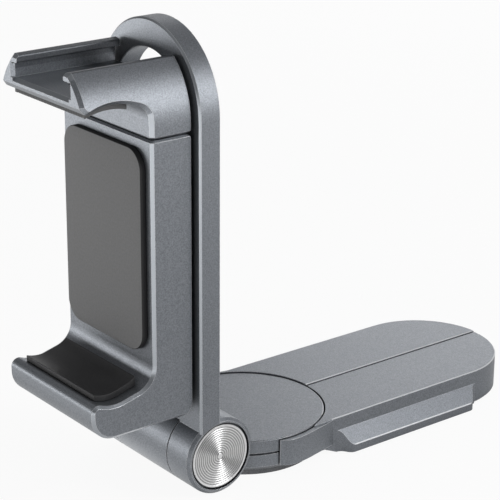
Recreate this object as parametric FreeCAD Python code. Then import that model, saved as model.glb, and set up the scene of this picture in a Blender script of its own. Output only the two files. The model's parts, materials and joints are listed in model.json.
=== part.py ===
import FreeCAD, Part
import math
import os

V = FreeCAD.Vector

# Phone clamp mount, millimetres, +Z up.
# Origin: turntable axis on the table. X runs along the hinge barrel, Y along the base.

# Base clip
base_h = 9.0
rear_step = 0.25
base_half = 18.2
base_len = 57.2
split_gap = 0.3
shell_wall = 1.7
split_wall = 2.4
roof = 1.7
edge_bevel = 0.2
front_lift = 0.2
plate_t = 1.2
plate_fit = 0.1
plate_in = 1.6
cover_t = 1.0

# Collar round the turntable
disc_gap = 0.35
collar_t = 1.1
collar_drop = 0.4
collar_z = 2.4
collar_end = -11.0
collar_start = 30.0
collar_nose = 4.5
blend_deg = 11.0
blend_y = 12.4
toe_y = 8.6
toe_end = 14.0
toe_in = 2.5
sole_edge = 0.6

# Finger lip of the front jaw
lip_out = 2.6
lip_top = 5.6
lip_edge = 2.1
lip_y0 = 13.4
lip_over = 0.8
lip_lead = 1.2
lip_run = 1.6
lip_round = 2.0
lip_bevel = 0.12

# Guide rods and spring of the clip
rod_r = 1.5
rod_fit = 0.05
rod_y0 = 25.5
rod_far_in = 5.7
rod_z_at = 4.7
rod_front_in = 2.8
rod_rear_in = 3.2
rod_boss = 1.5
rear_boss_len = 7.5
clip_spring_r = 2.0
clip_spring_wire = 0.6
clip_spring_in = 5.8
clip_spring_room = 0.6
spring_pin_r = 1.0
grip_t = 0.8
grip_y0 = 22.5
grip_over = 8.8
grip_z0 = 1.6
grip_z1 = 7.6
grip_room = 0.5

# Turntable
disc_over = 0.8
disc_t = 3.1
ring_z = 1.5
ring_wall = 2.2
ring_chamfer = 1.0
ring_groove = 0.5
hub_r = 6.5
post_r = 3.0
post_fit = 0.05
post_top = 5.2
clip_z = 3.1
clip_t = 0.8
clip_in = 0.4
clip_out = 0.7
clip_room = 0.2
slip_r = 9.5
swivel_deg = 20.0
plate_clear = 0.3

# Hinge barrel
hinge_y = -20.2
hinge_rise = 0.25
barrel_r = 8.9
barrel_half = 18.4
knuckle_half = 10.3
knuckle_gap = 0.3
barrel_clear = 0.3
barrel_edge = 0.7
pin_r = 2.5
pin_fit = 0.05
cap_r = 7.4
cap_room = 0.45
cap_t = 1.0
cap_sink = 0.15
cap_dish = 0.35
washer_r = 6.0

# Arm
arm_t = 5.1
arm_lift = 0.3
arm_len = 76.6
arm_chamfer = 0.4
eyelet_r = 12.2
eyelet_chamfer = 0.15

# Pivot between arm and phone clamp
pivot_h = 50.5
pivot_r = 3.0
pivot_fit = 0.05
pivot_head_r = 5.2
pivot_head_t = 2.0
rivet_r = 5.0
rivet_t = 1.4
pivot_play = 0.1
pivot_slip_r = 8.0

# Phone clamp body
clamp_gap = 0.9
clamp_depth = 9.8
clamp_half = 16.5
clamp_foot_h = 11.2
clamp_seam_h = 74.0
clamp_chamfer = 0.6
foot_out = 15.6
foot_heel_r = 3.0
foot_toe_r = 5.6
foot_tip_h = 9.1
foot_tip_r = 1.7
foot_dip_y = 10.2
foot_dip_h = 7.1
foot_dip_r = 9.0
foot_root_h = 9.7
foot_root_r = 5.0
front_wall = 2.4
cover_back_t = 1.6
cover_side = 0.9
cover_low = 6.0
cover_high = 3.6
cavity_half = 11.8
cavity_floor = 12.0
screw_r = 0.9
screw_head_r = 1.7
screw_head_t = 0.9
screw_len = 5.0
screw_in = 2.1

# Pads of the phone clamp
pad_t = 1.4
pad_half = 14.3
pad_low = 16.0
pad_high = 2.3
pad_corner = 4.5
foot_pad_half = 13.4
foot_pad_y0 = 1.5
foot_pad_y1 = 13.2
jaw_pad_t = 1.3
jaw_pad_half = 13.2
jaw_pad_y0 = 3.6
jaw_pad_y1 = 13.6

# Upper jaw
seam_gap = 0.25
jaw_travel = 26.0
jaw_out = 15.6
jaw_tip_h = 8.75
jaw_nose_y = 14.4
jaw_nose_h = 7.25
jaw_nose_r = 1.0
jaw_crown_h = 9.55
jaw_crown_y = 8.0
jaw_crown_r = 16.0
jaw_root_h = 6.65
jaw_root_r = 3.0
jaw_floor_h = 10.1
jaw_inner = 10.7
hook_in = 1.9
hook_h = 13.45
hook_t = 1.55
hook_rise = 1.85
hook_nose = 0.9
hook_r = 0.35
crest_r = 0.8
jaw_chamfer = 0.8
mouth_chamfer = 0.75
seam_edge = 0.45
back_round = 1.0
tongue_half = 11.5
tongue_side = 0.3
tongue_hold = 7.5
tongue_slot = 6.6
tongue_web = 7.5
spring_x = 9.0
spring_r = 2.2
spring_wire = 0.6
spring_play = 0.05

# Derived places
hinge_z = base_h + hinge_rise
arm_back = hinge_y - arm_lift
arm_front = arm_back - arm_t
round_z = hinge_z + arm_len
clamp_back = arm_front - clamp_gap
clamp_front = clamp_back - clamp_depth
foot_z = hinge_z + clamp_foot_h
seam_z = hinge_z + clamp_seam_h
pivot_z = hinge_z + pivot_h
disc_z = base_h - disc_t
disc_r = base_half + disc_over
plate_r = disc_r - plate_in
rod_front = base_half - rod_front_in
rod_rear = base_half - rod_rear_in
clip_spring_x = base_half - clip_spring_in
arm_half = barrel_half
well_r = disc_r + disc_gap
collar_r = well_r + collar_t
rear_top = base_h + rear_step
half_gap = split_gap / 2.0
rod_y1 = base_len - rod_far_in
grip_y1 = base_len + grip_over
lip_y1 = base_len + lip_over
spring_y = (rod_y0 + rod_y1) / 2.0
cover_reach = cover_back_t + pivot_play
tongue_end = seam_z - jaw_travel - tongue_hold
tongue_y0 = clamp_front + front_wall + tongue_side
tongue_y1 = clamp_back - cover_back_t - tongue_side
tongue_mid = (tongue_y0 + tongue_y1) / 2.0


def rounded(corners):
    """Closed 2-D path through corners (u, v, radius); arcs replace corners with a radius."""
    steps = []
    count = len(corners)
    for i in range(count):
        u, v, r = corners[i]
        here = V(u, v, 0)
        if r <= 0:
            steps.append((here, None, here))
            continue
        before = V(corners[i - 1][0], corners[i - 1][1], 0)
        after = V(corners[(i + 1) % count][0], corners[(i + 1) % count][1], 0)
        a = (before - here).normalize()
        b = (after - here).normalize()
        half = a.getAngle(b) / 2.0
        run = r / math.tan(half)
        middle = here + (a + b).normalize() * (r / math.sin(half) - r)
        steps.append((here + a * run, middle, here + b * run))
    return steps


def outline(corners, place):
    """Wire of a rounded path, each (u, v) set in space by place."""
    steps = rounded(corners)
    edges = []
    for i in range(len(steps)):
        start, middle, end = steps[i]
        following = steps[(i + 1) % len(steps)][0]
        if middle is not None:
            arc = Part.Arc(place(start.x, start.y), place(middle.x, middle.y), place(end.x, end.y))
            edges.append(arc.toShape())
        if end.distanceToPoint(following) > 1e-6:
            edges.append(Part.makeLine(place(end.x, end.y), place(following.x, following.y)))
    return Part.Wire(edges)


def prism_x(corners, x0, x1):
    """Solid of a (y, z) profile between two X planes."""
    wire = outline(corners, lambda u, v: V(x0, u, v))
    return Part.Face(wire).extrude(V(x1 - x0, 0, 0))


def prism_y(corners, y0, y1):
    """Solid of an (x, z) profile between two Y planes."""
    wire = outline(corners, lambda u, v: V(u, y0, v))
    return Part.Face(wire).extrude(V(0, y1 - y0, 0))


def prism_z(corners, z0, z1):
    """Solid of an (x, y) profile between two Z planes."""
    wire = outline(corners, lambda u, v: V(u, v, z0))
    return Part.Face(wire).extrude(V(0, 0, z1 - z0))


def box(x0, x1, y0, y1, z0, z1):
    return Part.makeBox(x1 - x0, y1 - y0, z1 - z0, V(x0, y0, z0))


def rod_x(r, x0, x1, y, z):
    return Part.makeCylinder(r, x1 - x0, V(x0, y, z), V(1, 0, 0))


def rod_y(r, y0, y1, x, z):
    return Part.makeCylinder(r, y1 - y0, V(x, y0, z), V(0, 1, 0))


def rod_z(r, z0, z1, x, y):
    return Part.makeCylinder(r, z1 - z0, V(x, y, z0), V(0, 0, 1))


def bevel(shape, size, wanted):
    """Chamfer of the edges that the test picks."""
    edges = [e for e in shape.Edges if wanted(e)]
    return shape.makeChamfer(size, edges)


def mirror_x(shape):
    return shape.mirror(V(0, 0, 0), V(1, 0, 0))


def all_at(edge, axis, value):
    return all(abs(getattr(v.Point, axis) - value) < 1e-4 for v in edge.Vertexes)


def save(name, shape):
    shape = shape.removeSplitter() if len(shape.Solids) == 1 else shape
    shape.exportStep("parts/" + name + ".step")
    print(name, len(shape.Solids), "solids", round(shape.Volume, 1), "mm3", shape.isValid())


def half_plan(inset, side_inset, z0, z1):
    """Front half of the stadium in plan, drawn in by the insets, from the axis to the round end."""
    r = base_half - inset
    x0 = half_gap + side_inset
    reach = base_len + math.sqrt(r * r - x0 * x0)
    bulge = math.radians(45)
    far = base_len + r * math.sin(bulge)
    edges = [
        Part.makeLine(V(x0, 0, z0), V(r, 0, z0)),
        Part.makeLine(V(r, 0, z0), V(r, base_len, z0)),
        Part.Arc(V(r, base_len, z0), V(r * math.cos(bulge), far, z0), V(x0, reach, z0)).toShape(),
        Part.makeLine(V(x0, reach, z0), V(x0, 0, z0)),
    ]
    return Part.Face(Part.Wire(edges)).extrude(V(0, 0, z1 - z0))


def collar(z0, z1):
    """Ring sector that wraps the turntable, with a rounded free end."""
    mid = collar_r - collar_nose
    lead = math.sqrt(collar_nose ** 2 - (well_r - mid) ** 2)
    first = collar_end + math.degrees(lead / well_r)
    ring = Part.makeCylinder(collar_r, z1 - z0, V(0, 0, z0), V(0, 0, 1), collar_start - first)
    ring.Placement = FreeCAD.Placement(V(0, 0, 0), FreeCAD.Rotation(V(0, 0, 1), first))
    a = math.radians(first)
    nose = rod_z(collar_nose, z0, z1, mid * math.cos(a), mid * math.sin(a))
    b = math.radians(blend_deg)
    blend = prism_z(
        [
            (collar_r * math.cos(b), collar_r * math.sin(b), 0),
            (base_half, blend_y, 0),
            (base_half - shell_wall, blend_y, 0),
            (base_half - shell_wall, collar_r * math.sin(b), 0),
        ],
        z0,
        z1,
    )
    return ring.fuse(nose).fuse(blend).cut(rod_z(well_r, z0, z1, 0, 0))


def toe():
    """Waste under the wall where it runs up to the collar's underside."""
    rise = [(0, 0, 0), (toe_end, 0, 0), (toe_y, collar_z, 0), (0, collar_z, 0)]
    return prism_x(rise, base_half - toe_in, base_half + lip_out + 1)


def clip_half(low, top):
    """Hollow half of the clip as a front half: roof, walls, collar and split wall."""
    body = half_plan(0, 0, low, top)
    rim = [e for e in body.Edges if all_at(e, "z", top)]
    body = body.makeChamfer(edge_bevel, rim)
    sole = [e for e in body.Edges if all_at(e, "z", low) and e.BoundBox.XMax > base_half - 1e-3]
    body = body.makeChamfer(sole_edge, sole)
    body = body.fuse(collar(collar_z, top - collar_drop))
    room = half_plan(shell_wall, split_wall, low, top - roof)
    room = room.cut(rod_z(well_r + shell_wall, low, top, 0, 0))
    well = rod_z(well_r, low, top + 1, 0, 0)
    body = body.cut(room).cut(well).cut(toe())
    boss_end = half_gap + split_wall + rear_boss_len
    for y in (rod_y0, rod_y1):
        boss = rod_x(rod_r + rod_boss, half_gap, boss_end, y, rod_z_at)
        web = box(half_gap, boss_end, y - rod_boss, y + rod_boss, rod_z_at, top - roof)
        body = body.fuse(boss).fuse(web)
    pin_x = clip_spring_x + spring_pin_r
    pin = rod_z(spring_pin_r, rod_z_at - clip_spring_r, top - roof, pin_x, spring_y)
    body = body.fuse(pin)
    hole = rod_x(clip_spring_r + clip_spring_room, 0, half_gap + split_wall, spring_y, rod_z_at)
    pocket = box(0, half_gap + grip_t, grip_y0, grip_y1, grip_z0, grip_z1)
    return body.cut(hole).cut(pocket)


def grip_strip():
    strip = prism_x(
        [
            (grip_y0, grip_z0, 0),
            (grip_y1, grip_z0, 0),
            (grip_y1, grip_z1, 0),
            (grip_y0, grip_z1, 0),
        ],
        half_gap,
        half_gap + grip_t,
    )
    for y in (rod_y0, rod_y1):
        strip = strip.cut(rod_x(rod_r + grip_room, 0, half_gap + grip_t, y, rod_z_at))
    strip = strip.cut(rod_x(clip_spring_r + clip_spring_room, 0, half_gap + grip_t, spring_y, rod_z_at))
    return strip


def make_base():
    bores = [rod_x(rod_r + rod_fit, -base_half, half_gap, y, rod_z_at) for y in (rod_y0, rod_y1)]
    rear = mirror_x(clip_half(0, rear_top))
    under = rod_z(well_r + shell_wall + 1, 0, plate_t + plate_fit, 0, 0)
    rear = rear.cut(under.cut(box(-2 * disc_r, 0, -2 * disc_r, 0, 0, base_h)))
    for b in bores:
        rear = rear.cut(b.common(box(-(half_gap + split_wall + rear_boss_len + 1), 0, 0, grip_y1, 0, base_h)))
    save("rear_shell", rear)

    inner = mirror_x(half_plan(shell_wall + plate_fit, split_wall + plate_fit, 0, plate_t))
    plate = inner.fuse(rod_z(plate_r, 0, plate_t, 0, 0))
    drop = hinge_z - plate_t - plate_clear
    reach = -hinge_y - math.sqrt(barrel_r * barrel_r - drop * drop) - plate_clear
    for turn in (-swivel_deg, -swivel_deg / 2.0, 0, swivel_deg / 2.0, swivel_deg):
        away = box(-2 * disc_r, 2 * disc_r, -2 * disc_r, -reach, 0, plate_t)
        away.rotate(V(0, 0, 0), V(0, 0, 1), turn)
        plate = plate.cut(away)
    plate = plate.cut(rod_z(post_r, 0, plate_t, 0, 0))
    save("base_plate", plate)

    save("rear_grip", mirror_x(grip_strip()))

    post = rod_z(post_r, 0, post_top, 0, 0)
    groove = rod_z(post_r + 1, clip_z, clip_z + clip_t, 0, 0).cut(rod_z(post_r - clip_in, 0, post_top, 0, 0))
    save("turntable_post", post.cut(groove))
    clip = rod_z(post_r + clip_out, clip_z, clip_z + clip_t, 0, 0)
    clip = clip.cut(rod_z(post_r - clip_in, 0, base_h, 0, 0))
    clip = clip.cut(box(-clip_t, clip_t, 0, hub_r, 0, base_h))
    save("post_clip", clip)
    slip = rod_z(slip_r, plate_t, ring_z, 0, 0).cut(rod_z(post_r + post_fit, 0, base_h, 0, 0))
    save("turntable_washer", slip)

    tube = rod_x(clip_spring_r, -clip_spring_x, clip_spring_x, spring_y, rod_z_at)
    bore = rod_x(clip_spring_r - clip_spring_wire, -base_half, base_half, spring_y, rod_z_at)
    save("base_spring", tube.cut(bore))


def make_front():
    front = clip_half(front_lift, base_h)
    for y in (rod_y0, rod_y1):
        front = front.fuse(
            rod_x(rod_r + rod_boss, half_gap + split_wall, rod_front, y, rod_z_at)
        )
    plan = prism_z(
        [
            (base_half - shell_wall, lip_y0 - lip_lead, 0),
            (base_half, lip_y0 - lip_lead, 0),
            (base_half, lip_y0 + lip_lead, lip_round),
            (base_half + lip_out, lip_y0 + lip_lead + lip_run, lip_round),
            (base_half + lip_out, lip_y1 - lip_lead - lip_run, lip_round),
            (base_half, lip_y1 - lip_lead, lip_round),
            (base_half, lip_y1, 0),
            (base_half - shell_wall, lip_y1, 0),
        ],
        front_lift,
        lip_top,
    )
    rise = lip_top - lip_edge
    lip_in = base_half - shell_wall
    slant = lip_bevel * rise / lip_out
    wedge = prism_y(
        [
            (base_half, lip_top, 0),
            (base_half + lip_out - lip_bevel, lip_edge + slant, 0),
            (base_half + lip_out, lip_edge - lip_bevel, 0),
            (base_half + lip_out, front_lift, 0),
            (lip_in, front_lift, 0),
            (lip_in, lip_top, 0),
        ],
        lip_y0 - lip_lead,
        lip_y1,
    )
    front = front.fuse(plan.common(wedge).cut(toe()))
    for y in (rod_y0, rod_y1):
        front = front.cut(rod_x(rod_r, 0, rod_front, y, rod_z_at))
    save("front_shell", front)

    lid = half_plan(shell_wall + plate_fit, split_wall + plate_fit, front_lift, front_lift + cover_t)
    lid = lid.cut(rod_z(well_r + shell_wall + plate_fit, 0, base_h, 0, 0))
    save("front_cover", lid)
    save("front_grip", grip_strip())
    rods = [rod_x(rod_r, -rod_rear, rod_front, y, rod_z_at) for y in (rod_y0, rod_y1)]
    save("guide_rods", Part.makeCompound(rods))


def make_turntable():
    disc = rod_z(disc_r, disc_z, base_h, 0, 0)
    disc = bevel(disc, edge_bevel, lambda e: all_at(e, "z", base_h))
    room = barrel_r + barrel_clear
    for x0, x1 in ((knuckle_half, disc_r), (-disc_r, -knuckle_half)):
        disc = disc.cut(rod_x(room, x0, x1, hinge_y, hinge_z))
    knuckle = rod_x(barrel_r, -knuckle_half, knuckle_half, hinge_y, hinge_z)
    hub = rod_z(hub_r, ring_z, disc_z, 0, 0)
    top = disc.fuse(knuckle).fuse(hub)
    top = top.cut(rod_x(pin_r + pin_fit, -disc_r, disc_r, hinge_y, hinge_z))
    top = top.cut(rod_z(post_r + post_fit, 0, post_top + post_fit, 0, 0))
    top = top.cut(rod_z(post_r + clip_out + clip_room, clip_z - clip_room, clip_z + clip_t + clip_room, 0, 0))
    save("turntable_top", top)

    ring = rod_z(disc_r, ring_z, disc_z - ring_groove, 0, 0)
    ring = bevel(ring, ring_chamfer, lambda e: all_at(e, "z", ring_z))
    ring = ring.fuse(rod_z(disc_r - ring_groove, ring_z + ring_chamfer, disc_z, 0, 0))
    ring = ring.cut(rod_z(disc_r - ring_wall, 0, base_h, 0, 0))
    ring = ring.cut(rod_x(room, -disc_r, disc_r, hinge_y, hinge_z))
    save("turntable_ring", ring)


def make_arm():
    slab = rod_y(arm_half, arm_front, arm_back, 0, round_z)
    slab = slab.fuse(box(-arm_half, arm_half, arm_front, arm_back, hinge_z, round_z)).removeSplitter()
    slab = slab.cut(rod_y(eyelet_r, arm_front, arm_back, 0, round_z))

    def front_rim(e):
        span = e.BoundBox.XLength
        outside = span > arm_half + eyelet_r or span < 1e-6
        return outside and all_at(e, "y", arm_front) and e.BoundBox.ZMax > hinge_z + 1

    def eyelet_rim(e):
        if not all_at(e, "y", arm_front) or e.Curve.TypeId != "Part::GeomCircle":
            return False
        return abs(e.Curve.Radius - eyelet_r) < 1e-3

    slab = bevel(slab, arm_chamfer, front_rim)
    slab = bevel(slab, eyelet_chamfer, eyelet_rim)
    inner = knuckle_half + knuckle_gap
    slab = slab.cut(rod_x(barrel_r + barrel_clear, -inner, inner, hinge_y, hinge_z))
    knuckles = rod_x(barrel_r, inner, barrel_half, hinge_y, hinge_z)
    knuckles = bevel(knuckles, barrel_edge, lambda e: all_at(e, "x", barrel_half))
    arm = slab.fuse(knuckles).fuse(mirror_x(knuckles))
    arm = arm.cut(rod_x(pin_r, -barrel_half, barrel_half, hinge_y, hinge_z))
    seat = barrel_half - cap_sink - cap_t
    arm = arm.cut(rod_x(cap_r + cap_room, seat, barrel_half, hinge_y, hinge_z))
    arm = arm.cut(rod_x(cap_r + cap_room, -barrel_half, -seat, hinge_y, hinge_z))
    arm = arm.cut(rod_y(pivot_r, arm_front, arm_back, 0, pivot_z))
    arm = arm.cut(rod_y(rivet_r, arm_back - rivet_t, arm_back, 0, pivot_z))
    save("arm", arm)

    save("hinge_pin", rod_x(pin_r, -seat, seat, hinge_y, hinge_z))
    slip = rod_x(washer_r, knuckle_half, inner, hinge_y, hinge_z)
    slip = slip.cut(rod_x(pin_r, 0, barrel_half, hinge_y, hinge_z))
    save("hinge_washers", Part.makeCompound([slip, mirror_x(slip)]))
    rim = hinge_z + cap_r
    dished = [
        V(seat, hinge_y, hinge_z),
        V(seat, hinge_y, rim),
        V(seat + cap_t, hinge_y, rim),
        V(seat + cap_t - cap_dish, hinge_y, hinge_z),
    ]
    profile = Part.makePolygon(dished + dished[:1])
    cap = Part.Face(profile).revolve(V(0, hinge_y, hinge_z), V(1, 0, 0), 360)
    cap = Part.Solid(cap.Shells[0]) if cap.ShapeType != "Solid" else cap
    save("cap_right", cap)
    save("cap_left", mirror_x(cap))

    shaft = rod_y(pivot_r, clamp_back - cover_reach, arm_back, 0, pivot_z)
    head = rod_y(pivot_head_r, clamp_back - cover_reach - pivot_head_t, clamp_back - cover_reach, 0, pivot_z)
    rivet = rod_y(rivet_r, arm_back - rivet_t, arm_back, 0, pivot_z)
    save("pivot_post", shaft.fuse(head).fuse(rivet))
    slip = rod_y(pivot_slip_r, clamp_back, arm_front, 0, pivot_z)
    slip = slip.cut(rod_y(pivot_r, clamp_front, arm_back, 0, pivot_z))
    save("pivot_washer", slip)


def foot_profile(lift):
    """Side profile of the back and foot, with the grip face lifted by the given amount."""
    return [
        (clamp_back, foot_z, 0),
        (clamp_front - foot_out, foot_z, foot_toe_r),
        (clamp_front - foot_out, foot_z + foot_tip_h + lift, foot_tip_r),
        (clamp_front - foot_dip_y, foot_z + foot_dip_h + lift, foot_dip_r),
        (clamp_front - lift, foot_z + foot_root_h + lift, foot_root_r),
        (clamp_front - lift, seam_z, 0),
        (clamp_back, seam_z, 0),
    ]


def back_corner(z, way, r):
    """Waste outside the rounded back corner at height z, on the side that way points to."""
    y0 = clamp_back - r
    mid = z + way * r
    waste = box(-clamp_half, clamp_half, y0, clamp_back, min(z, mid), max(z, mid))
    return waste.cut(rod_x(r, -clamp_half, clamp_half, y0, mid))


def make_clamp():
    raw = prism_x(foot_profile(0), -clamp_half, clamp_half)

    def at_seam(e):
        return all_at(e, "z", seam_z) and e.BoundBox.YMin < clamp_back - 1e-3

    def side_rim(e):
        if not (all_at(e, "x", clamp_half) or all_at(e, "x", -clamp_half)):
            return False
        b = e.BoundBox
        at_back = b.YMin > clamp_back - 1e-3
        return not (at_back or b.ZMin > seam_z - 1e-3)

    body = bevel(raw, clamp_chamfer, side_rim)
    body = bevel(body, seam_edge, at_seam)
    body = body.cut(back_corner(seam_z, -1, back_round))
    body = body.cut(back_corner(foot_z, 1, foot_heel_r))
    cover_in = clamp_back - cover_back_t
    cavity = box(-cavity_half, cavity_half, clamp_front + front_wall, cover_in, foot_z + cavity_floor, seam_z)
    recess = prism_y(cover_outline(), cover_in, clamp_back)
    body = body.cut(cavity).cut(recess)
    for x, z in screw_places():
        body = body.cut(rod_y(screw_r, cover_in - screw_len, cover_in, x, z))
    save("clamp_body", body)

    cover = prism_y(cover_outline(), cover_in, clamp_back)
    cover = cover.cut(rod_y(pivot_r + pivot_fit, clamp_front, arm_back, 0, pivot_z))
    screws = []
    for x, z in screw_places():
        cover = cover.cut(rod_y(screw_r, cover_in, clamp_back, x, z))
        cover = cover.cut(rod_y(screw_head_r, clamp_back - screw_head_t, clamp_back, x, z))
        shank = rod_y(screw_r, cover_in - screw_len, clamp_back, x, z)
        screws.append(shank.fuse(rod_y(screw_head_r, clamp_back - screw_head_t, clamp_back, x, z)))
    save("clamp_cover", cover)
    save("cover_screws", Part.makeCompound(screws))

    low = foot_z + pad_low
    high = seam_z - pad_high
    pad = prism_y(
        [
            (-pad_half, low, pad_corner),
            (pad_half, low, pad_corner),
            (pad_half, high, pad_corner),
            (-pad_half, high, pad_corner),
        ],
        clamp_front - pad_t,
        clamp_front,
    )
    save("back_pad", pad)

    lifted = prism_x(foot_profile(pad_t), -foot_pad_half, foot_pad_half)
    pad_end = clamp_front - foot_pad_y0 - pad_t
    tread = box(-foot_pad_half, foot_pad_half, clamp_front - foot_pad_y1, pad_end, foot_z, low)
    save("foot_pad", lifted.common(tread).cut(raw))

    floor = foot_z + cavity_floor
    top = tongue_end - spring_play
    coils = []
    for x in (-spring_x, spring_x):
        tube = rod_z(spring_r, floor, top, x, tongue_mid)
        coils.append(tube.cut(rod_z(spring_r - spring_wire, floor, top, x, tongue_mid)))
    save("jaw_springs", Part.makeCompound(coils))


def cover_outline():
    x = clamp_half - cover_side
    return [
        (-x, foot_z + cover_low, 0),
        (x, foot_z + cover_low, 0),
        (x, seam_z - cover_high, 0),
        (-x, seam_z - cover_high, 0),
    ]


def screw_places():
    x = clamp_half - cover_side - screw_in
    low = foot_z + cover_low + screw_in
    high = seam_z - cover_high - screw_in
    return [(-x, low), (x, low), (-x, high), (x, high)]


def jaw_under(drop, low):
    """Underside of the arch in side view, dropped by the given amount."""
    base = seam_z - drop
    return [
        (clamp_front, low, 0),
        (clamp_front, base + jaw_root_h, jaw_root_r),
        (clamp_front - jaw_crown_y, base + jaw_crown_h, jaw_crown_r),
        (clamp_front - jaw_nose_y, base + jaw_nose_h, jaw_nose_r),
        (clamp_front - jaw_out, base + jaw_tip_h, 0),
    ]


def jaw_mouth(low, top):
    """Section of the open tray: straight walls, hooked rims and the gap between them."""
    under = seam_z + hook_h
    gap = jaw_inner - hook_in
    out = clamp_half - jaw_inner + hook_in
    slope = (hook_rise - hook_t) / hook_rise
    right = [
        (jaw_inner, low, 0),
        (jaw_inner, under, hook_r),
        (gap, under, hook_r),
        (gap, under + hook_t, hook_r),
        (clamp_half, under + hook_t + slope * out, 0),
        (clamp_half, top + slope * out, 0),
    ]
    left = [(-x, z, r) for x, z, r in reversed(right)]
    return right + left


def mouth_bevel(tip, floor):
    """Waste in front of the tray: the bevels of its floor, of both walls and of the hooks' ends."""
    wide = jaw_inner + mouth_chamfer
    sill = [(tip, floor, 0), (tip + mouth_chamfer, floor, 0), (tip, floor - mouth_chamfer, 0)]
    waste = prism_x(sill, -jaw_inner, jaw_inner)
    nose = seam_z + hook_h + hook_nose
    rise = round_z + arm_half - nose
    slant = [(tip, nose, 0), (tip + rise, nose + rise, 0), (tip, nose + rise, 0)]
    waste = waste.fuse(prism_x(slant, -clamp_half, clamp_half))
    for x, out in ((jaw_inner, wide), (-jaw_inner, -wide)):
        post = [(x, tip, 0), (out, tip, 0), (x, tip + mouth_chamfer, 0)]
        waste = waste.fuse(prism_z(post, floor, seam_z + hook_h))
    return waste


def make_jaw():
    back = clamp_back
    tip = clamp_front - jaw_out
    top = round_z + arm_half
    low = seam_z + seam_gap
    over = [(tip, top, 0), (back, top, 0), (back, low, 0)]
    side = prism_x(jaw_under(0, low) + over, -clamp_half, clamp_half)
    arch = rod_y(clamp_half, tip, back, 0, round_z)
    arch = arch.common(box(-clamp_half, clamp_half, tip, back, round_z, top))
    arch = arch.fuse(box(-clamp_half, clamp_half, tip, back, low, round_z)).removeSplitter()
    jaw = side.common(arch)

    def outer_rim(e):
        b = e.BoundBox
        if all_at(e, "y", tip):
            return b.ZMax > seam_z + jaw_tip_h + 1e-3 and b.XLength > 1
        if b.YLength < 1e-4 or b.XLength > jaw_crown_y:
            return False
        at_side = min(abs(b.XMin), abs(b.XMax)) > jaw_inner
        under = b.ZMax < seam_z + jaw_crown_h and b.YMax < clamp_front + 1e-3
        return at_side and under

    jaw = bevel(jaw, jaw_chamfer, outer_rim)
    jaw = bevel(jaw, seam_edge, lambda e: all_at(e, "z", low) and e.BoundBox.YMin < clamp_back - 1e-3)
    jaw = jaw.cut(back_corner(low, 1, back_round))
    floor = seam_z + jaw_floor_h
    tray = prism_y(jaw_mouth(floor, top), tip, back)
    jaw = jaw.cut(tray)

    jaw = jaw.cut(mouth_bevel(tip, floor))

    def crest(e):
        b = e.BoundBox
        lengthwise = b.YLength > jaw_out and b.XLength < 1e-3
        on_top = b.ZMin > seam_z + hook_h + hook_t / 2
        outside = abs(b.XMin) > jaw_inner - hook_in / 2
        return lengthwise and on_top and outside

    jaw = jaw.makeFillet(crest_r, [e for e in jaw.Edges if crest(e)])
    tongue = box(-tongue_half, tongue_half, tongue_y0, tongue_y1, tongue_end, low + seam_edge)
    slot_top = low - tongue_web
    slot = box(-tongue_slot, tongue_slot, tongue_y0, tongue_y1, tongue_end, slot_top - tongue_slot)
    slot = slot.fuse(rod_y(tongue_slot, tongue_y0, tongue_y1, 0, slot_top - tongue_slot))
    jaw = jaw.fuse(tongue.cut(slot)).removeSplitter()
    save("upper_jaw", jaw)

    solid = prism_x(jaw_under(0, low) + over, -clamp_half, clamp_half)
    deep = prism_x(jaw_under(jaw_pad_t, low) + over, -jaw_pad_half, jaw_pad_half)
    reach = box(-jaw_pad_half, jaw_pad_half, clamp_front - jaw_pad_y1, clamp_front - jaw_pad_y0, low, floor)
    save("jaw_pad", deep.common(reach).cut(solid))


os.makedirs("parts", exist_ok=True)
make_base()
make_front()
make_turntable()
make_arm()
make_clamp()
make_jaw()
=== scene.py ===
# %% [markdown]
# # Phone clamp mount
# A folding travel holder: a split clip base with a turntable, a hinged arm with a round eyelet,
# and a phone clamp with a foot and a sprung upper jaw.
# The machined pieces come from the CAD frame. This lesson adds the camera, the light, the finishes,
# and the pieces that need finer forms than the solids: turned caps, soft pads, springs and screws.

# %% Load the frame
import json
import math
import bpy
from mathutils import Matrix, Vector


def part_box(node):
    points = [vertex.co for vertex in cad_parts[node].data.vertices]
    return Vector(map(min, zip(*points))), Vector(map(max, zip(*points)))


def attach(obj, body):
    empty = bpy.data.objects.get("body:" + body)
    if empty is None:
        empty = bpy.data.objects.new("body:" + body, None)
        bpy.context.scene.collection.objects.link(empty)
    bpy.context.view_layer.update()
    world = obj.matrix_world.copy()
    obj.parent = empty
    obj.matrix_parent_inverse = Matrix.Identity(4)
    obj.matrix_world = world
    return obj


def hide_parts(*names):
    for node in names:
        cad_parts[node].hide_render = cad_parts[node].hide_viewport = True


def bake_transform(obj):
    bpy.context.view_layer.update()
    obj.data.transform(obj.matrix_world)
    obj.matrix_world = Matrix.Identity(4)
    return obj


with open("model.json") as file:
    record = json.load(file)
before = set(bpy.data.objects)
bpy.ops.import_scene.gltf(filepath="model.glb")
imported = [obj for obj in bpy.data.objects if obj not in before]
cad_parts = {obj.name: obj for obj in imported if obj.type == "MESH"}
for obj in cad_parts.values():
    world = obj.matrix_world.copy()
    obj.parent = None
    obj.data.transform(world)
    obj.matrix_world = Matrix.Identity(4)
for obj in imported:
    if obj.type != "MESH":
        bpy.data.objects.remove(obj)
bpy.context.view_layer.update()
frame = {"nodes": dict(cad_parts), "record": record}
nodes = frame["nodes"]
MM = 0.001


# %% [markdown]
# ## Camera
# The photograph is taken from the front right, a little above, with a long lens.
# A camera that is solved from the edges of the object gives the same perspective,
# so the lens and the place are written as solved, with the small roll of the picture.

# %% Camera
EYE = Vector((0.30335, -0.23600, 0.18613))
TARGET = Vector((0.0, 0.00196, 0.04717))
ROLL = math.radians(0.385)
LENS = 130.26


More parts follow.
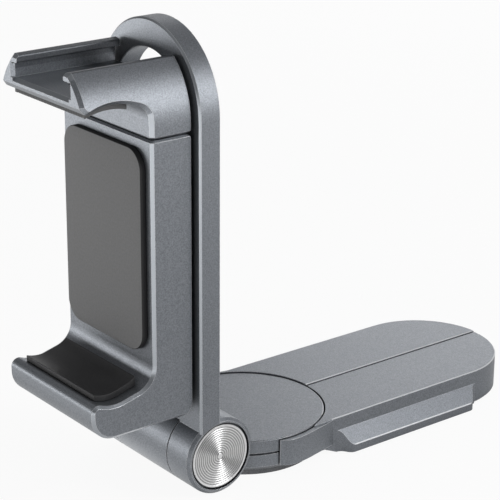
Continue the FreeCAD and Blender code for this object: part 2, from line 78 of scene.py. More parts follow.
def add_camera():
    back = (EYE - TARGET).normalized()
    right = Vector((0, 0, 1)).cross(back).normalized()
    up = back.cross(right)
    x_axis = math.cos(ROLL) * right + math.sin(ROLL) * up
    y_axis = -math.sin(ROLL) * right + math.cos(ROLL) * up
    turn = Matrix((x_axis, y_axis, back)).transposed().to_4x4()
    bpy.ops.object.camera_add()
    camera = bpy.context.object
    camera.name = "photo_camera"
    camera.matrix_world = Matrix.Translation(EYE) @ turn
    camera.data.sensor_width = 36.0
    camera.data.lens = LENS
    camera.data.clip_start = 0.01
    bpy.context.scene.camera = camera
    return camera


bpy.ops.object.select_all(action="DESELECT")
camera = add_camera()
print("camera", [round(v, 4) for v in camera.location], "lens", round(camera.data.lens, 2))


# %% [markdown]
# ## Nodes
# The floor, the sky and every finish are built from shader nodes. Adding them one by one in code
# takes many lines that differ only in a number, so four helpers do it: one adds a node and fills its
# inputs, one maps a range of values to another, one does a sum, and one mixes two colours.

# %% Node helpers
def add_node(tree, kind, values=None, **options):
    """Add a node, set its options, then fill its inputs, by name or by number."""
    node = tree.nodes.new(kind)
    for key, option in options.items():
        setattr(node, key, option)
    for socket, value in (values or {}).items():
        node.inputs[socket].default_value = value
    return node


def map_range(tree, value, start, end, low=0.0, high=1.0, **options):
    """Where the value is at start this gives low, and at end it gives high."""
    limits = {"From Min": start, "From Max": end, "To Min": low, "To Max": high}
    node = add_node(tree, "ShaderNodeMapRange", limits, **options)
    tree.links.new(value, node.inputs["Value"])
    return node.outputs["Result"]


def calc(tree, operation, *terms):
    """A sum of numbers and sockets."""
    node = add_node(tree, "ShaderNodeMath", operation=operation)
    for socket, term in zip(node.inputs, terms):
        if isinstance(term, (int, float)):
            socket.default_value = term
        else:
            tree.links.new(term, socket)
    return node.outputs[0]


def mix_colours(tree, factor, first, second):
    """The first colour where the factor is 0, the second where it is 1."""
    node = add_node(tree, "ShaderNodeMix", data_type="RGBA")
    tree.links.new(factor, node.inputs["Factor"])
    for name, colour in (("A", first), ("B", second)):
        if isinstance(colour, tuple):
            node.inputs[name].default_value = (*colour, 1)
        else:
            tree.links.new(colour, node.inputs[name])
    return node.outputs["Result"]


# %% [markdown]
# ## Floor and light
# Bead-blasted metal shows its form by soft gradients, so the light is a bright floor, a gentle
# sky and a few large lamps. The floor is pale paint that looks white to the camera and keeps a soft
# shadow under the object. In the metal's reflections it is dim behind on the right and bright in
# front and close to the base, so that a face shades from light to dark as a studio table makes it.

# %% Floor in reflections
DIM_SPOT = (0.14, 0.09, 0.0)
BASE_SPOT = (-0.01, 0.0, 0.0)


def spot_distance(tree, place, spot):
    away = add_node(tree, "ShaderNodeVectorMath", {1: spot}, operation="DISTANCE")
    tree.links.new(place.outputs["Object"], away.inputs[0])
    return away.outputs["Value"]


def reflected_white(tree, place):
    """How much of the floor's white shows in a reflection."""
    return map_range(tree, spot_distance(tree, place, DIM_SPOT), 0.11, 0.19, 0.10, 0.80)


def reflected_glow(tree, place):
    """How much brighter than white a reflection of the floor is, in front and close to the base."""
    split = add_node(tree, "ShaderNodeSeparateXYZ")
    tree.links.new(place.outputs["Object"], split.inputs[0])
    ahead = map_range(tree, split.outputs["Y"], -0.07, -0.24, 0.0, 1.4)
    close = map_range(tree, spot_distance(tree, place, BASE_SPOT), 0.02, 0.042, 1.2, 0.0)
    return calc(tree, "MAXIMUM", ahead, close)


# %% Floor
FLOOR_SIZE = 12.0
FLOOR_PAINT = (0.86, 0.86, 0.86, 1)
CAMERA_WHITE = 0.93


def floor_finish():
    material = bpy.data.materials.new("pale_floor")
    material.use_nodes = True
    tree = material.node_tree
    tree.nodes.clear()
    link = tree.links.new
    out = add_node(tree, "ShaderNodeOutputMaterial")
    paint = add_node(tree, "ShaderNodeBsdfDiffuse", {"Color": FLOOR_PAINT})
    white = add_node(tree, "ShaderNodeEmission", {"Color": (1, 1, 1, 1)})
    mix = add_node(tree, "ShaderNodeMixShader")
    path = add_node(tree, "ShaderNodeLightPath")
    place = add_node(tree, "ShaderNodeTexCoord")
    glossy = path.outputs["Is Glossy Ray"]
    mirrored = calc(tree, "ADD", glossy, path.outputs["Is Transmission Ray"])
    reflected = calc(tree, "MULTIPLY", mirrored, reflected_white(tree, place))
    seen = calc(tree, "MULTIPLY_ADD", path.outputs["Is Camera Ray"], CAMERA_WHITE, reflected)
    glow = calc(tree, "MULTIPLY_ADD", glossy, reflected_glow(tree, place), 1.0)
    link(glow, white.inputs["Strength"])
    link(seen, mix.inputs["Fac"])
    link(paint.outputs[0], mix.inputs[1])
    link(white.outputs[0], mix.inputs[2])
    link(mix.outputs[0], out.inputs["Surface"])
    return material


bpy.ops.object.select_all(action="DESELECT")
bpy.ops.mesh.primitive_plane_add(size=FLOOR_SIZE, location=(0, 0, 0))
floor = bpy.context.object
floor.name = "floor"
floor.data.materials.append(floor_finish())
bpy.context.scene.view_settings.view_transform = "Standard"
print("floor:", FLOOR_SIZE, "m wide")


# %% Sky
ROOM_FRONT = (0.17, 0.17, 0.174)
ROOM_BACK = (0.42, 0.42, 0.43)
HORIZON_FRONT = (0.22, 0.22, 0.225)
HORIZON_BACK = (0.80, 0.80, 0.81)
ZENITH = (0.38, 0.38, 0.385)


def add_sky():
    world = bpy.data.worlds.new("studio")
    bpy.context.scene.world = world
    world.use_nodes = True
    tree = world.node_tree
    tree.nodes.clear()
    link = tree.links.new
    out = add_node(tree, "ShaderNodeOutputWorld")
    sky = add_node(tree, "ShaderNodeBackground", {"Strength": 1.0})
    place = add_node(tree, "ShaderNodeTexCoord")
    split = add_node(tree, "ShaderNodeSeparateXYZ")
    link(place.outputs["Generated"], split.inputs[0])

    def fade(axis, start, end):
        return map_range(tree, split.outputs[axis], start, end, interpolation_type="SMOOTHSTEP")

    behind = fade("Y", -0.15, 0.75)
    room = mix_colours(tree, behind, ROOM_FRONT, ROOM_BACK)
    upper = mix_colours(tree, fade("Z", 0.40, 0.85), room, ZENITH)
    horizon = mix_colours(tree, behind, HORIZON_FRONT, HORIZON_BACK)
    whole = mix_colours(tree, fade("Z", 0.05, 0.42), horizon, upper)
    link(whole, sky.inputs["Color"])
    link(sky.outputs[0], out.inputs["Surface"])
    return world


world = add_sky()
print("sky:", world.name)


# %% Lamps
LAMP_AIM = Vector((0, 0.01, 0.05))


def add_lamp(name, place, size, watts):
    bpy.ops.object.select_all(action="DESELECT")
    bpy.ops.object.light_add(type="AREA", location=place)
    lamp = bpy.context.object
    lamp.name = name
    lamp.data.shape = "RECTANGLE"
    lamp.data.size = size[0]
    lamp.data.size_y = size[1]
    lamp.data.energy = watts
    look = LAMP_AIM - Vector(place)
    lamp.rotation_euler = look.to_track_quat("-Z", "Y").to_euler()
    return lamp


lamps = [
    add_lamp("front_left", (-0.62, -0.50, 0.05), (0.50, 0.09), 0.95),
    add_lamp("front_low", (0.14, -0.60, 0.05), (0.24, 0.08), 0.30),
    add_lamp("back_right", (0.48, 0.25, 0.29), (0.18, 0.36), 1.45),
    add_lamp("back_left", (-0.36, 0.56, 0.28), (0.50, 0.30), 0.8),
]
print("lamps:", [lamp.name for lamp in lamps])


# %% [markdown]
# ## Shared effects
# Three effects are node groups. The first is grain: blasting with beads leaves small pits, which a
# fine noise gives as a height and as a slight change of tone.

# %% Group: grain
NUMBER = "NodeSocketFloat"
DIRECTION = "NodeSocketVector"


def new_group(name, inputs, outputs):
    """An empty shader group, with its nodes for what goes in and what comes out."""
    group = bpy.data.node_groups.new(name, "ShaderNodeTree")
    for socket, kind in inputs.items():
        group.interface.new_socket(socket, in_out="INPUT", socket_type=kind)
    for socket, kind in outputs.items():
        group.interface.new_socket(socket, in_out="OUTPUT", socket_type=kind)
    return group, add_node(group, "NodeGroupInput"), add_node(group, "NodeGroupOutput")


def grain_group():
    group, give, take = new_group("blasted_grain", {"Scale": NUMBER}, {"Height": NUMBER, "Tone": NUMBER})
    link = group.links.new
    place = add_node(group, "ShaderNodeTexCoord")
    fine = add_node(group, "ShaderNodeTexNoise", {"Detail": 3.0, "Roughness": 0.6})
    pits = add_node(group, "ShaderNodeTexVoronoi", feature="SMOOTH_F1")
    broad = add_node(group, "ShaderNodeTexNoise", {"Scale": 420.0, "Detail": 2.0})
    for texture in (fine, pits, broad):
        link(place.outputs["Object"], texture.inputs["Vector"])
    for texture in (fine, pits):
        link(give.outputs["Scale"], texture.inputs["Scale"])
    height = calc(group, "MULTIPLY_ADD", pits.outputs["Distance"], 0.5, fine.outputs["Fac"])
    tone = calc(group, "MULTIPLY_ADD", broad.outputs["Fac"], 0.05, fine.outputs["Fac"])
    link(height, take.inputs["Height"])
    link(tone, take.inputs["Tone"])
    return group


grain = grain_group()
print("group:", grain.name)


# %% [markdown]
# The second gives masks for a painted highlight on sharp outer edges and for painted shade in the
# hollows.
# A Bevel node rounds the normal near an edge, so where it differs from the true normal there is an
# edge. Ambient occlusion over a short reach tells outer edges from inner ones, and over a longer
# reach it finds the hollows.

# %% Group: edge shine
EDGE_REACH = 0.6 * MM
HOLLOW_REACH = 10 * MM
# Strength of the painted highlight on outer edges.
EDGE_HIGHLIGHT_SHARE = 0.70
# Strength of the painted shade in hollows.
HOLLOW_SHADE_SHARE = 0.60


def edge_group():
    outputs = {"Mask": NUMBER, "Normal": DIRECTION, "Hollow": NUMBER}
    group, give, take = new_group("edge_shine", {"Radius": NUMBER}, outputs)
    link = group.links.new
    round_off = add_node(group, "ShaderNodeBevel", samples=6)
    surface = add_node(group, "ShaderNodeNewGeometry")
    match = add_node(group, "ShaderNodeVectorMath", operation="DOT_PRODUCT")
    near = add_node(group, "ShaderNodeAmbientOcclusion", {"Distance": EDGE_REACH}, samples=4)
    wide = add_node(group, "ShaderNodeAmbientOcclusion", {"Distance": HOLLOW_REACH}, samples=6)
    link(give.outputs["Radius"], round_off.inputs["Radius"])
    link(round_off.outputs["Normal"], match.inputs[0])
    link(surface.outputs["Normal"], match.inputs[1])
    spread = map_range(group, match.outputs["Value"], 0.995, 0.90)
    open_air = map_range(group, near.outputs["AO"], 0.72, 0.92)
    outer = calc(group, "MULTIPLY", spread, open_air)
    # Outer edges give the mask for a painted highlight.
    link(calc(group, "MULTIPLY", outer, EDGE_HIGHLIGHT_SHARE), take.inputs["Mask"])
    link(round_off.outputs["Normal"], take.inputs["Normal"])
    # The long reach gives the mask for painted shade in hollows.
    link(map_range(group, wide.outputs["AO"], 0.60, 0.25, 0.0, HOLLOW_SHADE_SHARE), take.inputs["Hollow"])
    return group


edges = edge_group()
print("group:", edges.name)


# %% [markdown]
# The third finds faces that have a finish of their own. The chamfers are cut with a fast tool after
# blasting. They lean 45 degrees out of the front or the side, so the surface's own direction finds
# them, with the barrel and the round fillets kept out by their place. It also finds the fine rims of the
# base's top and of the finger lip, for a painted highlight, and the inside of the jaw's tray, for
# painted shade.

# %% Group: cut chamfers
DIAGONAL = math.sqrt(0.5)
BASE_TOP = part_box("rear_shell")[1][2]
LIP_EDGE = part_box("front_shell")[1][0] - 0.6 * MM
DISC_EDGE = 12 * MM
HINGE_TOP = 15.8 * MM
ARCH_LOW = 100 * MM
FOOT_FRONT = -34 * MM
FOOT_TOP = 45 * MM
JAW_FRONT = -45 * MM
JAW_LOW = 90 * MM
SILL_FRONT = -50 * MM
TRAY_HALF = 10.75 * MM
TRAY_END = -26.2 * MM
TRAY_LOW = 95.2 * MM
TRAY_HIGH = 99.0 * MM
# Strength of the painted highlight on the rims.
RIM_HIGHLIGHT_SHARE = 0.6
# Strength of the painted shade in the jaw's tray.
TRAY_SHADE_SHARE = 0.5


def chamfer_group():
    group, _, take = new_group("cut_chamfers", {}, {"Mask": NUMBER, "Rim Highlight": NUMBER, "Tray Shade": NUMBER})
    link = group.links.new
    place = add_node(group, "ShaderNodeTexCoord")
    facing = add_node(group, "ShaderNodeSeparateXYZ")
    where = add_node(group, "ShaderNodeSeparateXYZ")
    link(place.outputs["Normal"], facing.inputs[0])
    link(place.outputs["Object"], where.inputs[0])
    face_x, face_y, face_z = facing.outputs
    x, y, z = where.outputs

    def over(value, limit):
        return calc(group, "GREATER_THAN", value, limit)

    def under(value, limit):
        return calc(group, "LESS_THAN", value, limit)

    def near(value, target, slack):
        return calc(group, "COMPARE", value, target, slack)

    def both(first, *others):
        for other in others:
            first = calc(group, "MULTIPLY", first, other)
        return first

    def either(first, second):
        return calc(group, "MAXIMUM", first, second)

    lean_x = calc(group, "ABSOLUTE", face_x)
    half_y = near(calc(group, "ABSOLUTE", face_y), DIAGONAL, 0.02)
    off_barrel = either(over(lean_x, 0.1), both(over(z, ARCH_LOW), over(face_z, -0.1)))
    upright = under(calc(group, "ABSOLUTE", face_z), 0.35)
    foot_rim = both(under(y, FOOT_FRONT), under(z, FOOT_TOP), near(lean_x, DIAGONAL, 0.2))
    side = either(foot_rim, both(near(lean_x, DIAGONAL, 0.02), upright))
    jaw_tip = both(under(y, JAW_FRONT), over(z, JAW_LOW))
    allowed = calc(group, "SUBTRACT", over(z, HINGE_TOP), jaw_tip)
    chamfer = both(either(both(half_y, off_barrel), side), allowed)
    sill = both(half_y, over(face_z, 0.5), under(y, SILL_FRONT))
    link(either(chamfer, sill), take.inputs["Mask"])

    # The rims of the base's top and of the finger lip get a painted highlight.
    base_rim = both(near(face_z, DIAGONAL, 0.1), near(z, BASE_TOP, 0.5 * MM), over(y, DISC_EDGE))
    lip_rim = both(near(face_z, 0.42, 0.12), over(x, LIP_EDGE))
    link(both(either(base_rim, lip_rim), RIM_HIGHLIGHT_SHARE), take.inputs["Rim Highlight"])

    # The inside of the jaw's tray gets painted shade.
    between = both(under(calc(group, "ABSOLUTE", x), TRAY_HALF), under(y, TRAY_END), over(face_y, -0.5))
    link(both(between, over(z, TRAY_LOW), under(z, TRAY_HIGH), TRAY_SHADE_SHARE), take.inputs["Tray Shade"])
    return group


chamfers = chamfer_group()
print("group:", chamfers.name)


# %% [markdown]
# ## Finishes
# Anodised aluminium takes a colour into its skin and keeps a metal's reflections.
# The machined chamfers are cut after blasting, so they are smoother and brighter than the faces. The
# finest edges and rims get a painted highlight that shows from every side, and hollows get painted
# shade.

# %% Finish helpers
def start_finish(name):
    material = bpy.data.materials.new(name)
    material.use_nodes = True
    tree = material.node_tree
    return material, tree, tree.nodes["Principled BSDF"]


def use_group(tree, group, **values):
    return add_node(tree, "ShaderNodeGroup", values, node_tree=group)


def tone_ramp(tree, dust, dark, light, low=0.35, high=0.75):
    """A colour between dark and light, by the grain's tone."""
    ramp = add_node(tree, "ShaderNodeValToRGB")
    for element, position, colour in zip(ramp.color_ramp.elements, (low, high), (dark, light)):
        element.position = position
        element.color = (*colour, 1)
    tree.links.new(dust.outputs["Tone"], ramp.inputs["Fac"])
    return ramp.outputs["Color"]


def add_relief(tree, shader, dust, strength, depth):
    """The grain's pits as a bump."""
    bump = add_node(tree, "ShaderNodeBump", {"Strength": strength, "Distance": depth})
    tree.links.new(dust.outputs["Height"], bump.inputs["Height"])
    tree.links.new(bump.outputs["Normal"], shader.inputs["Normal"])
    return bump


# %% Finish: blasted anodised aluminium
BLASTED_DARK = (0.164, 0.176, 0.194)
BLASTED_LIGHT = (0.286, 0.302, 0.324)
CUT_BRIGHT = (0.34, 0.36, 0.385)
# Painted shade: a near-black for hollows and the jaw's tray.
HOLLOW_SHADE_PAINT = (0.035, 0.038, 0.042)
# Painted highlight: pale paint on edges and rims.
PAINTED_HIGHLIGHT = (0.92, 0.93, 0.95)


def anodised_finish():
    material, tree, shader = start_finish("grey_anodised")
    link = tree.links.new
    dust = use_group(tree, grain, Scale=3600.0)
    edge = use_group(tree, edges, Radius=0.18 * MM)
    cut = use_group(tree, chamfers)
    # Mask of the painted highlight on edges and rims.
    painted_highlight = calc(tree, "MAXIMUM", edge.outputs["Mask"], cut.outputs["Rim Highlight"])
    smooth = calc(tree, "MAXIMUM", painted_highlight, cut.outputs["Mask"])
    # Mask of the painted shade in hollows and in the jaw's tray.
    painted_shade_mask = calc(tree, "MAXIMUM", edge.outputs["Hollow"], cut.outputs["Tray Shade"])
    colour = tone_ramp(tree, dust, BLASTED_DARK, BLASTED_LIGHT, low=0.33)
    colour = mix_colours(tree, cut.outputs["Mask"], colour, CUT_BRIGHT)
    colour = mix_colours(tree, painted_shade_mask, colour, HOLLOW_SHADE_PAINT)
    colour = mix_colours(tree, painted_highlight, colour, PAINTED_HIGHLIGHT)
    link(colour, shader.inputs["Base Color"])
    link(map_range(tree, smooth, 0.0, 1.0, 0.42, 0.30), shader.inputs["Roughness"])
    # Where the highlight is painted, the metal turns into pale non-metallic paint.
    link(map_range(tree, painted_highlight, 0.0, 1.0, 0.85, 0.0), shader.inputs["Metallic"])
    bump = add_relief(tree, shader, dust, 0.34, 0.08 * MM)
    link(edge.outputs["Normal"], bump.inputs["Normal"])
    return material


anodised = anodised_finish()
print("finish:", anodised.name)


# %% [markdown]
# The other finishes are simpler. Steel, silicone and nylon are one colour with a fine grain.
# The turned caps have silver ridges and grooves painted grey as painted shade, told apart by their depth
# along the barrel.
# The back pad's face towards the phone gets a painted sheen, lighter than its dark sides, which the
# surface's direction tells.

# %% Finish: steel, silicone and nylon
GRAIN_DEPTH = 0.05 * MM


def grained_finish(name, dark, light, roughness, scale=2200.0, relief=0.10, metallic=0.0):
    material, tree, shader = start_finish(name)
    dust = use_group(tree, grain, Scale=scale)
    tree.links.new(tone_ramp(tree, dust, dark, light), shader.inputs["Base Color"])
    add_relief(tree, shader, dust, relief, GRAIN_DEPTH)
    shader.inputs["Roughness"].default_value = roughness
    shader.inputs["Metallic"].default_value = metallic
    return material


def steel_finish(name, dark, light):
    return grained_finish(name, dark, light, 0.34, scale=2800.0, relief=0.08, metallic=1.0)


steel = steel_finish("plain_steel", (0.31, 0.315, 0.32), (0.37, 0.375, 0.38))
# Nearly black steel, as painted shade under the base.
steel_painted_dark = steel_finish("steel_painted_dark", (0.07, 0.072, 0.076), (0.12, 0.122, 0.126))
black_silicone = grained_finish("black_silicone", (0.014, 0.014, 0.015), (0.025, 0.025, 0.026), 0.55)
ribbed_silicone = grained_finish("ribbed_silicone", (0.080, 0.080, 0.081), (0.105, 0.105, 0.106), 0.60)
nylon = grained_finish("black_nylon", (0.030, 0.030, 0.031), (0.045, 0.045, 0.046), 0.45)
print("finishes:", [m.name for m in (steel, steel_painted_dark, black_silicone, ribbed_silicone, nylon)])


# %% Finish: turned silver
RIDGE = 0.16 * MM
GROOVE_SHADE_GREY = (0.32, 0.32, 0.32)


def turned_finish(top):
    material, tree, shader = start_finish("turned_silver")
    link = tree.links.new
    dust = use_group(tree, grain, Scale=2600.0)
    place = add_node(tree, "ShaderNodeTexCoord")
    split = add_node(tree, "ShaderNodeSeparateXYZ")
    link(place.outputs["Object"], split.inputs[0])
    along = calc(tree, "ABSOLUTE", split.outputs["X"])
    height = map_range(tree, along, top - RIDGE, top)
    silver = tone_ramp(tree, dust, (0.76, 0.76, 0.76), (0.88, 0.88, 0.88))
    # The grooves are painted grey as painted shade.
    link(mix_colours(tree, height, GROOVE_SHADE_GREY, silver), shader.inputs["Base Color"])
    shader.inputs["Metallic"].default_value = 1.0
    shader.inputs["Roughness"].default_value = 0.40
    return material


turned = turned_finish(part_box("cap_right")[1][0])
print("finish:", turned.name)


# %% Finish: silicone with a painted sheen
PAD_SHEEN_DARK = (0.195, 0.195, 0.195)
PAD_SHEEN_LIGHT = (0.232, 0.232, 0.232)
PAD_SIDE = (0.012, 0.012, 0.013)


def sheen_painted_finish(name):
    material = grained_finish(name, PAD_SHEEN_DARK, PAD_SHEEN_LIGHT, 0.70)
    tree = material.node_tree
    link = tree.links.new
    place = add_node(tree, "ShaderNodeTexCoord")
    facing = add_node(tree, "ShaderNodeSeparateXYZ")
    link(place.outputs["Normal"], facing.inputs[0])
    front = map_range(tree, facing.outputs["Y"], -0.80, -0.95)
    face = tree.nodes["Color Ramp"].outputs["Color"]
    # The face towards the phone gets a painted sheen; the sides keep the silicone's dark colour.
    colour = mix_colours(tree, front, PAD_SIDE, face)
    link(colour, tree.nodes["Principled BSDF"].inputs["Base Color"])
    return material


silicone_painted_sheen = sheen_painted_finish("silicone_painted_sheen")
print("finish:", silicone_painted_sheen.name)


# %% [markdown]
# Each machined node takes the finish of its slot in the record. The two bottom plates are steel too,
# but painted nearly black, as painted shade for the shade under the base.

# %% Finishes on the machined nodes
finish_of_slot = {
    "anodised": anodised,
    "steel": steel,
    "spun": turned,
    "rubber": black_silicone,
    "grey_pad": silicone_painted_sheen,
    "nylon": nylon,
}
for part in frame["record"]["subparts"]:
    nodes[part["node"]].material_slots[0].material = finish_of_slot[part["material_slot"]]
# The bottom plates get painted shade.
for plate in ("base_plate", "front_cover"):
    nodes[plate].material_slots[0].material = steel_painted_dark
print("finishes on", len(nodes), "CAD nodes")


# %% [markdown]
# ## Turned caps
# The hinge barrel is closed at each end by a turned cap: fine round ridges, cut on a lathe,
# that flash as the light moves. A circle is extruded inwards ring by ring, each ring up and down,
# so every ridge is real and shows in the outline as well as in the light.

# %% Modelling helpers
def pick(piece):
    """Make this the only selected object, and the active one."""
    bpy.ops.object.select_all(action="DESELECT")
    piece.select_set(True)
    bpy.context.view_layer.objects.active = piece


def begin(name):
    piece = bpy.context.object
    piece.name = name
    piece.data.name = name
    return piece


def settle(piece, angle):
    """Place into the mesh, clean it, and smooth it by angle."""
    pick(piece)
    bpy.ops.object.transform_apply(location=True, rotation=True, scale=True)
    bpy.ops.object.mode_set(mode="EDIT")
    bpy.ops.mesh.select_all(action="SELECT")
    bpy.ops.mesh.remove_doubles(threshold=1e-6)
    bpy.ops.mesh.normals_make_consistent(inside=False)
    bpy.ops.object.mode_set(mode="OBJECT")
    bpy.ops.object.shade_smooth_by_angle(angle=math.radians(angle))
    return piece


def dress(piece, material, body, slot, *replaced):
    """Give a piece its finish and its body, and hide the solids that it stands for. The slot is not
    used.
    """
    piece.data.materials.clear()
    piece.data.materials.append(material)
    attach(piece, body)
    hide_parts(*replaced)
    count = sum(len(p.vertices) - 2 for p in piece.data.polygons)
    print(piece.name, count, "triangles on", body)


# %% Turned caps
RING_COUNT = 12
CAP_SIDES = 128
CAP_BEVEL = 0.12 * MM
CAP_RIM = 0.45 * MM
CAP_CORE = 0.55 * MM


def ring_steps(radius):
    """Radius and rise of each ring of a cap, from its edge to its middle."""
    rim = radius - CAP_RIM
    pitch = (rim - CAP_CORE) / RING_COUNT
    steps = [(radius - CAP_BEVEL, CAP_BEVEL), (rim, 0.0)]
    for ring in range(RING_COUNT):
        steps.append((rim - (ring + 0.45) * pitch, -RIDGE))
        steps.append((rim - (ring + 0.55) * pitch, 0.0))
        steps.append((rim - (ring + 0.95) * pitch, RIDGE))
        steps.append((rim - (ring + 1.0) * pitch, 0.0))
    return steps


def turned_cap(node, outward):
    low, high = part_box(node)
    seat, face = (low[0], high[0]) if outward > 0 else (high[0], low[0])
    centre = (seat, (low[1] + high[1]) / 2, (low[2] + high[2]) / 2)
    radius = (high[2] - low[2]) / 2
    bpy.ops.object.select_all(action="DESELECT")
    bpy.ops.mesh.primitive_circle_add(
        vertices=CAP_SIDES,
        radius=radius,
        fill_type="NGON",
        location=centre,
        rotation=(0, math.pi / 2, 0),
    )
    cap = begin("turned_" + node)
    bpy.ops.object.transform_apply(location=True, rotation=True, scale=True)
    bpy.ops.object.mode_set(mode="EDIT")
    bpy.ops.mesh.select_all(action="SELECT")
    depth = face - seat - outward * CAP_BEVEL
    bpy.ops.mesh.extrude_region_move(TRANSFORM_OT_translate={"value": (depth, 0, 0)})
    for new_radius, rise in ring_steps(radius):
        bpy.ops.mesh.extrude_region_move(TRANSFORM_OT_translate={"value": (outward * rise, 0, 0)})
        share = new_radius / radius
        bpy.ops.transform.resize(value=(1, share, share), center_override=centre)
        radius = new_radius
    bpy.ops.object.mode_set(mode="OBJECT")
    settle(cap, 20.0)
    dress(cap, turned, "arm", "spun", node)


turned_cap("cap_right", 1)
turned_cap("cap_left", -1)


# %% [markdown]
# ## Silicone pads
# The pads are moulded silicone, glued into the clamp. Moulded rubber has no sharp edges,
# so each pad is a copy of its solid, merged into one skin, with its rims rounded by a bevel.

# %% Soft copies
def soft_copy(node, name):
    """A merged copy of a solid, free of its body, with flat faces whole again."""
    pick(nodes[node])
    bpy.ops.object.duplicate()
    pad = begin(name)
    pad.parent = None
    for key in [k for k in pad.keys() if k.startswith("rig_")]:
        del pad[key]
    bpy.ops.object.mode_set(mode="EDIT")
    bpy.ops.mesh.select_all(action="SELECT")
    bpy.ops.mesh.remove_doubles(threshold=1e-6)
    bpy.ops.mesh.customdata_custom_splitnormals_clear()
    bpy.ops.mesh.dissolve_limited(angle_limit=math.radians(1.0))
    bpy.ops.object.mode_set(mode="OBJECT")
    return pad


def round_rims(piece, width, segments):
    pick(piece)
    trim = piece.modifiers.new("soft_rim", "BEVEL")
    trim.width = width
    trim.segments = segments
    trim.limit_method = "ANGLE"
    trim.angle_limit = math.radians(40)
    bpy.ops.object.modifier_apply(modifier=trim.name)


# %% Back and foot pads
def soft_pad(node, name, rounding, material, slot):
    pad = soft_copy(node, name)
    round_rims(pad, rounding, 4)
    settle(pad, 50.0)
    dress(pad, material, "clamp", slot, node)


soft_pad("back_pad", "silicone_back", 0.25 * MM, silicone_painted_sheen, "grey_pad")
soft_pad("foot_pad", "silicone_foot", 0.35 * MM, black_silicone, "rubber")


# %% [markdown]
# The pad under the upper jaw is finely ribbed, so that it grips the edge of a phone.
# Bisecting the rounded copy at an even spacing gives it loops, and drawing in every second loop
# along the surface's own direction makes the ribs.

# %% Ribbed jaw pad
RIB_STEP = 0.3 * MM
RIB_DEPTH = 0.1 * MM
RIB_MARGIN = 1 * MM


def ribbed_pad(node, name):
    pad = soft_copy(node, name)
    round_rims(pad, 0.25 * MM, 3)
    low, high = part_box(node)
    steps = int((high[0] - low[0] - 2 * RIB_MARGIN) / RIB_STEP)
    cuts = [(i - steps / 2) * RIB_STEP for i in range(steps + 1)]
    bpy.ops.object.mode_set(mode="EDIT")
    bpy.ops.mesh.select_mode(type="VERT")
    for x in cuts:
        bpy.ops.mesh.select_all(action="SELECT")
        bpy.ops.mesh.bisect(plane_co=(x, 0, 0), plane_no=(1, 0, 0))
    bpy.ops.mesh.select_all(action="DESELECT")
    bpy.ops.object.mode_set(mode="OBJECT")
    grooves = cuts[1::2]
    for vertex in pad.data.vertices:
        vertex.select = min(abs(vertex.co.x - x) for x in grooves) < 0.01 * MM
    bpy.ops.object.mode_set(mode="EDIT")
    bpy.ops.transform.shrink_fatten(value=-RIB_DEPTH)
    bpy.ops.object.mode_set(mode="OBJECT")
    settle(pad, 20.0)
    dress(pad, ribbed_silicone, "upper_jaw", "rubber", node)


ribbed_pad("jaw_pad", "silicone_jaw")


# %% [markdown]
# ## Grip strips
# Where the base clips on a table edge, a thin rubber strip lines each half. Its face has lengthwise
# grooves, which rods cut out of the copied solid before its rims are rounded.

# %% Grip strips
GROOVE_R = 0.30 * MM
GROOVE_COUNT = 3
ROD_SPARE = 2 * MM


def cut_away(piece, cutter):
    """Take the cutter's shape out of the piece, then delete the cutter."""
    pick(piece)
    cut = piece.modifiers.new("cut", "BOOLEAN")
    cut.operation = "DIFFERENCE"
    cut.solver = "EXACT"
    cut.object = cutter
    bpy.ops.object.modifier_apply(modifier=cut.name)
    pick(cutter)
    bpy.ops.object.delete()


def grip_strip(node, name, body, inward):
    strip = soft_copy(node, name)
    low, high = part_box(node)
    face = high[0] if inward > 0 else low[0]
    spacing = (high[2] - low[2]) / GROOVE_COUNT
    for i in range(GROOVE_COUNT):
        bpy.ops.object.select_all(action="DESELECT")
        bpy.ops.mesh.primitive_cylinder_add(
            vertices=16,
            radius=GROOVE_R,
            depth=high[1] - low[1] + ROD_SPARE,
            location=(face, (low[1] + high[1]) / 2, low[2] + (i + 0.5) * spacing),
            rotation=(math.pi / 2, 0, 0),
        )
        cut_away(strip, bpy.context.object)
    round_rims(strip, 0.08 * MM, 2)
    settle(strip, 40.0)
    dress(strip, black_silicone, body, "rubber", node)


grip_strip("rear_grip", "rubber_rear", "base", 1)
grip_strip("front_grip", "rubber_front", "front_jaw", -1)


# %% [markdown]
# ## Springs
# One spring pulls the two halves of the base together, and two pull the upper jaw down.
# A wire's section wound by the Screw modifier makes a coil. The coil has one end on each of the two
# bodies that it joins; it is taken off its body and stays where it stands at rest.

# %% Winding a coil
WIRE = 0.6 * MM
WIRE_SIDES = 10
TURN_STEPS = 24


def wind_coil(name, length, outer, turns):
    """A coil up the Z axis from the origin, with closed wire ends."""
    bpy.ops.object.select_all(action="DESELECT")
    bpy.ops.mesh.primitive_circle_add(vertices=WIRE_SIDES, radius=WIRE / 2, rotation=(math.pi / 2, 0, 0))
    coil = begin(name)
    bpy.ops.object.transform_apply(location=True, rotation=True, scale=True)
    bpy.ops.object.mode_set(mode="EDIT")
    bpy.ops.mesh.select_all(action="SELECT")
    bpy.ops.transform.translate(value=(outer - WIRE / 2, 0, WIRE / 2))
    bpy.ops.object.mode_set(mode="OBJECT")
    wind = coil.modifiers.new("wind", "SCREW")
    wind.axis = "Z"
    wind.iterations = turns
    wind.screw_offset = (length - WIRE) / turns
    wind.steps = TURN_STEPS
    wind.render_steps = TURN_STEPS
    bpy.ops.object.modifier_apply(modifier=wind.name)
    bpy.ops.object.mode_set(mode="EDIT")
    bpy.ops.mesh.select_mode(type="VERT")
    bpy.ops.mesh.select_all(action="DESELECT")
    bpy.ops.mesh.select_non_manifold()
    bpy.ops.mesh.fill_holes(sides=0)
    bpy.ops.object.mode_set(mode="OBJECT")
    return coil


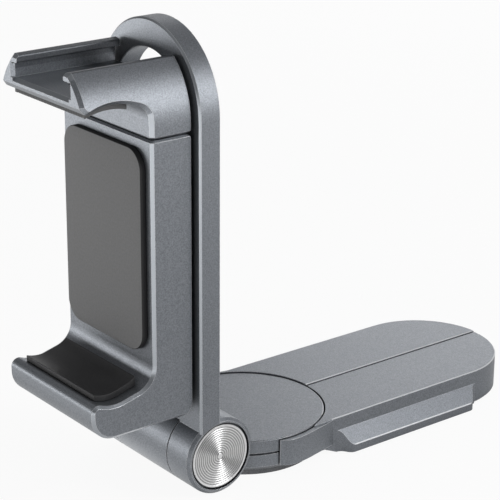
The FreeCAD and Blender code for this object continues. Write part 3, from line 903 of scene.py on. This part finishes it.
# %% Springs
BASE_TURNS = 34
JAW_TURNS = 24


def base_spring():
    low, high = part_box("base_spring")
    y = (low[1] + high[1]) / 2
    z = (low[2] + high[2]) / 2
    coil = wind_coil("base_coil", high[0] - low[0], (high[2] - low[2]) / 2, BASE_TURNS)
    coil.rotation_euler = (0, math.pi / 2, 0)
    coil.location = (low[0], y, z)
    settle(coil, 60.0)
    dress(coil, steel, "base", "steel", "base_spring")
    return coil, (low[0], y, z), (high[0], y, z)


def jaw_springs():
    low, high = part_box("jaw_springs")
    outer = (high[1] - low[1]) / 2
    y = (low[1] + high[1]) / 2
    coils = []
    for x in (low[0] + outer, high[0] - outer):
        coil = wind_coil("jaw_coils", high[2] - low[2], outer, JAW_TURNS)
        coil.location = (x, y, low[2])
        coils.append(settle(coil, 60.0))
    pick(coils[0])
    coils[1].select_set(True)
    bpy.ops.object.join()
    pair = begin("jaw_coils")
    dress(pair, steel, "clamp", "steel", "jaw_springs")
    return pair, (0, y, low[2]), (0, y, high[2])


# %% Springs between two bodies
def stretch(spring, first, second):
    piece, start, end = spring
    piece.parent = None
    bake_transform(piece)
    print(piece.name, "stretches between", first, "and", second)


stretch(base_spring(), "base", "front_jaw")
stretch(jaw_springs(), "clamp", "upper_jaw")


# %% [markdown]
# ## Cover screws
# Four small socket screws hold the clamp's back cover. Each is a cylinder whose back face is inset and
# drawn out as the shank, with a six-sided socket cut in the head and its edges bevelled.

# %% One socket screw
HEAD_R = 1.7 * MM
HEAD_T = 0.9 * MM
SHANK_R = 0.9 * MM
SOCKET_R = 0.85 * MM
SOCKET_DEPTH = 0.5 * MM


def add_rod(sides, radius, length, middle):
    """A rod along the Y axis."""
    bpy.ops.object.select_all(action="DESELECT")
    bpy.ops.mesh.primitive_cylinder_add(
        vertices=sides, radius=radius, depth=length, location=middle, rotation=(math.pi / 2, 0, 0)
    )
    return bpy.context.object


def socket_screw(x, z, face, end):
    add_rod(48, HEAD_R, HEAD_T, (x, face - HEAD_T / 2, z))
    screw = begin("socket_screws")
    bpy.ops.object.transform_apply(location=True, rotation=True, scale=True)
    bpy.ops.object.mode_set(mode="EDIT")
    bpy.ops.mesh.select_mode(type="FACE")
    bpy.ops.mesh.select_all(action="DESELECT")
    bpy.ops.object.mode_set(mode="OBJECT")
    for polygon in screw.data.polygons:
        polygon.select = polygon.normal.y < -0.9
    bpy.ops.object.mode_set(mode="EDIT")
    bpy.ops.mesh.inset(thickness=HEAD_R - SHANK_R)
    bpy.ops.mesh.extrude_region_move(TRANSFORM_OT_translate={"value": (0, end - face + HEAD_T, 0)})
    bpy.ops.object.mode_set(mode="OBJECT")
    cut_away(screw, add_rod(6, SOCKET_R, 2 * SOCKET_DEPTH, (x, face, z)))
    round_rims(screw, 0.10 * MM, 2)
    return screw


# %% Cover screws
def cover_screws():
    low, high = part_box("cover_screws")
    first = socket_screw(low[0] + HEAD_R, low[2] + HEAD_R, high[1], low[1])
    across = high[0] - low[0] - 2 * HEAD_R
    upward = high[2] - low[2] - 2 * HEAD_R
    screws = [first]
    for step in ((across, 0, 0), (0, 0, upward), (across, 0, upward)):
        pick(first)
        bpy.ops.object.duplicate()
        copy = bpy.context.object
        copy.location = step
        screws.append(copy)
    pick(first)
    for screw in screws:
        screw.select_set(True)
    bpy.ops.object.join()
    settle(first, 30.0)
    dress(first, steel, "clamp", "steel", "cover_screws")


cover_screws()
